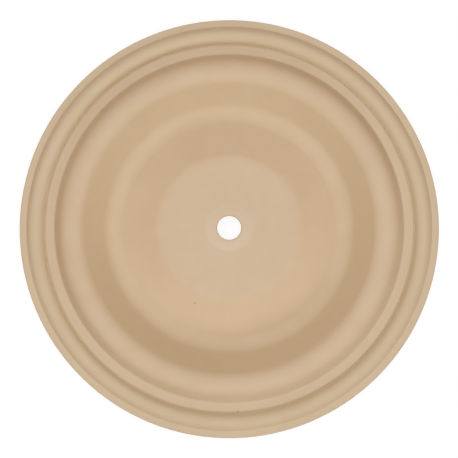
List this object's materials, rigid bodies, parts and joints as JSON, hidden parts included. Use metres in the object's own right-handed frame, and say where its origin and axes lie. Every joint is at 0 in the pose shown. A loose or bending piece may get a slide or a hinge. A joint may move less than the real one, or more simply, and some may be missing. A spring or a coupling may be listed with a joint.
{
  "type": "pump diaphragm",
  "caption": "Round pump diaphragm moulded in tan elastomer: flat clamping disc round a small bore, a shallow valley, a raised convolution and a clamped rim with a sealing bead.",
  "frame": {"origin": "on the bore's axis, at the flat underside of the clamped rim", "axes": "+Z along the bore's axis, out of the convex side; X and Y are free because the part is round"},
  "size_m": [0.2, 0.2, 0.0108],
  "materials": {
    "elastomer": "smooth satin, moulded"
  },
  "bodies": {
    "root": {"diaphragm": "elastomer"}
  },
  "joints": []
}
